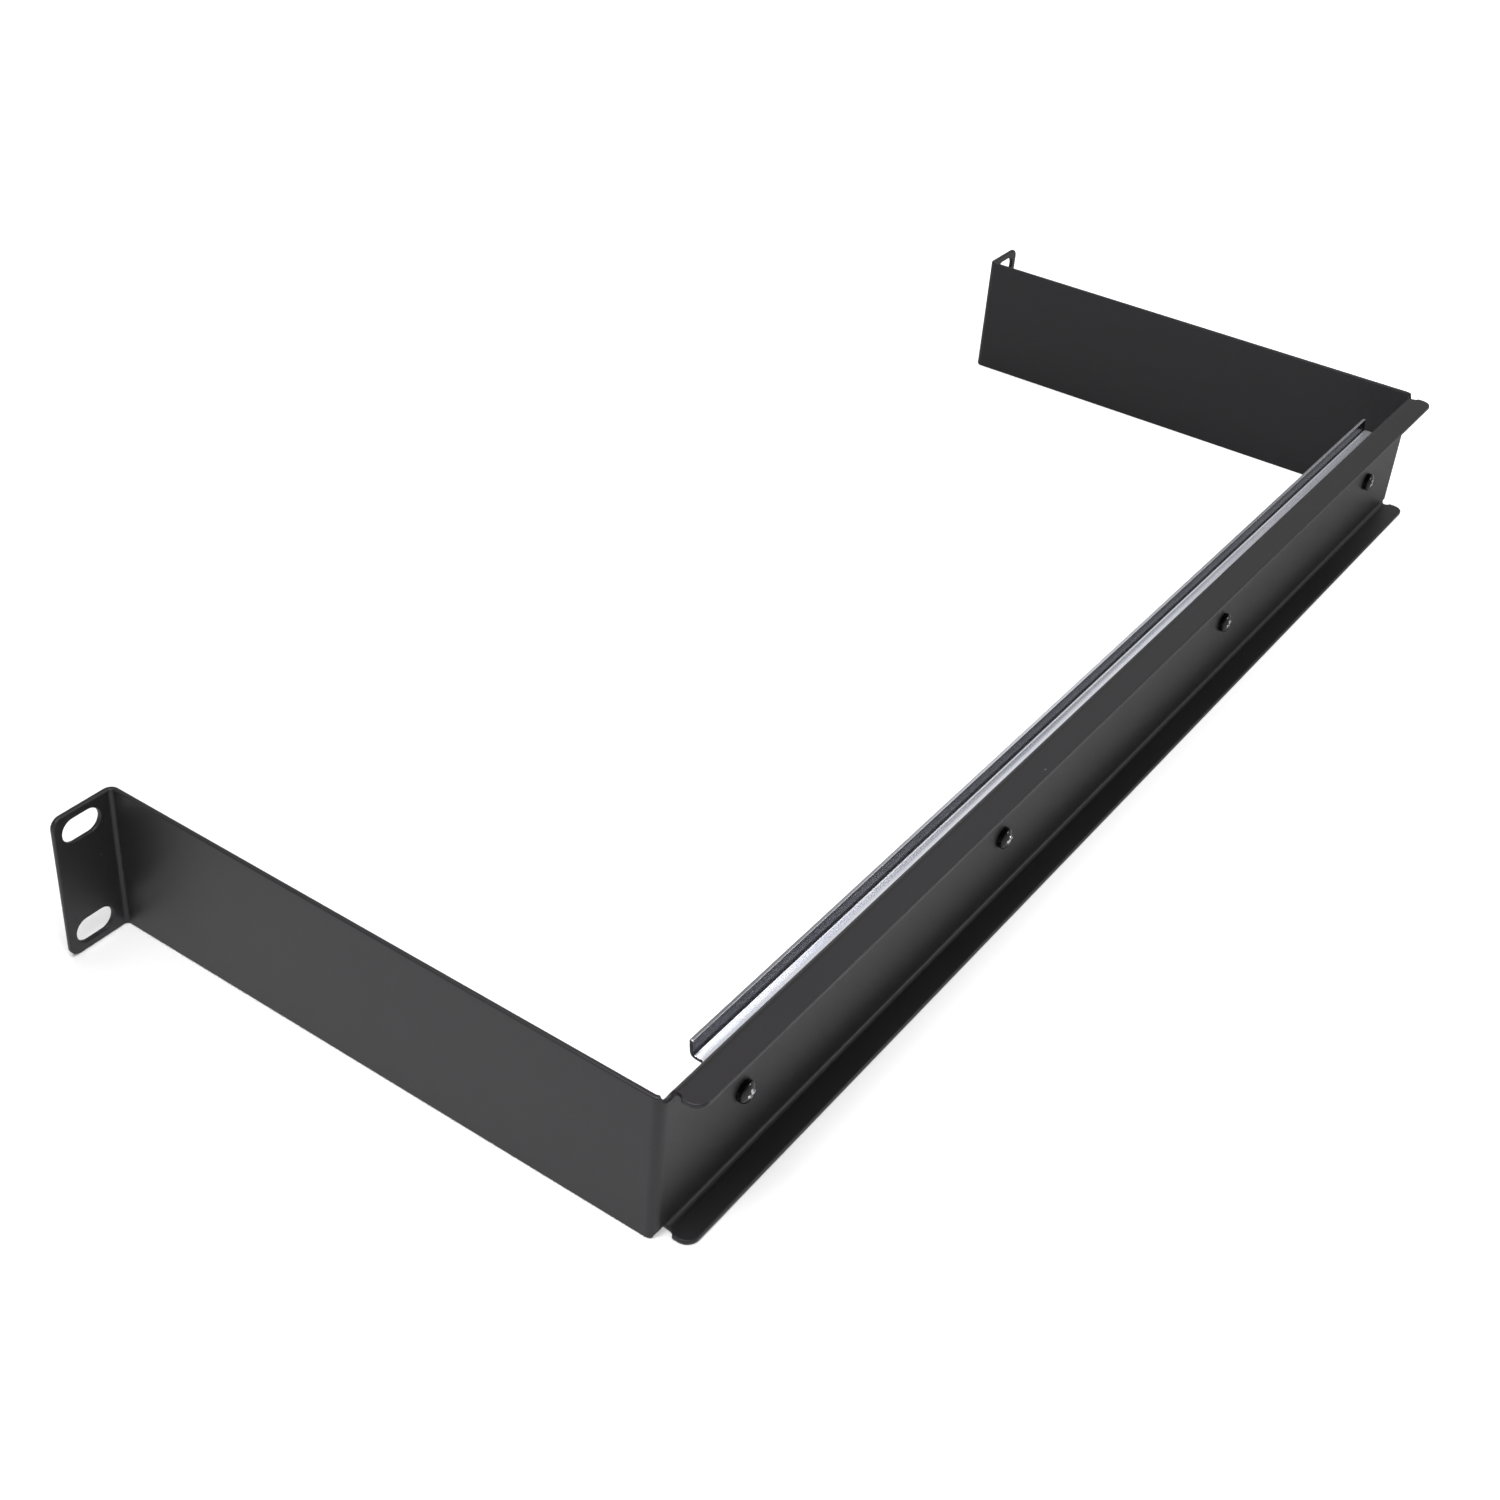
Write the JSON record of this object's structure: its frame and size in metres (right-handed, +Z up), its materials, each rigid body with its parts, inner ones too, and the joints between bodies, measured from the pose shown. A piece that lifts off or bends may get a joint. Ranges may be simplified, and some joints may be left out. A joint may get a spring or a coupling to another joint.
{
  "type": "din rail rack mount",
  "caption": "Rack bracket folded from one black sheet: turned-out ears, side arms and a flanged rear web that carries a bright top-hat rail for clip-on modules.",
  "frame": {"origin": "centre of the four rack slots, on the rear face of the ears, which seats on the rack's posts", "axes": "+X across the rack along the rail, +Y from the ears back into the rack, +Z up"},
  "size_m": [0.482, 0.1794, 0.0436],
  "materials": {
    "powder_coat": "matte black powder coat with a fine texture, on sheet steel",
    "rail_zinc": "bright zinc plate on rolled steel strip",
    "screw_black": "glossy black plated steel",
    "fastener_zinc": "bright zinc plate on steel"
  },
  "bodies": {
    "root": {"bracket": "powder_coat", "din_rail": "rail_zinc", "rail_screws": "screw_black", "rail_washers": "fastener_zinc", "rail_nuts": "fastener_zinc"}
  },
  "joints": []
}
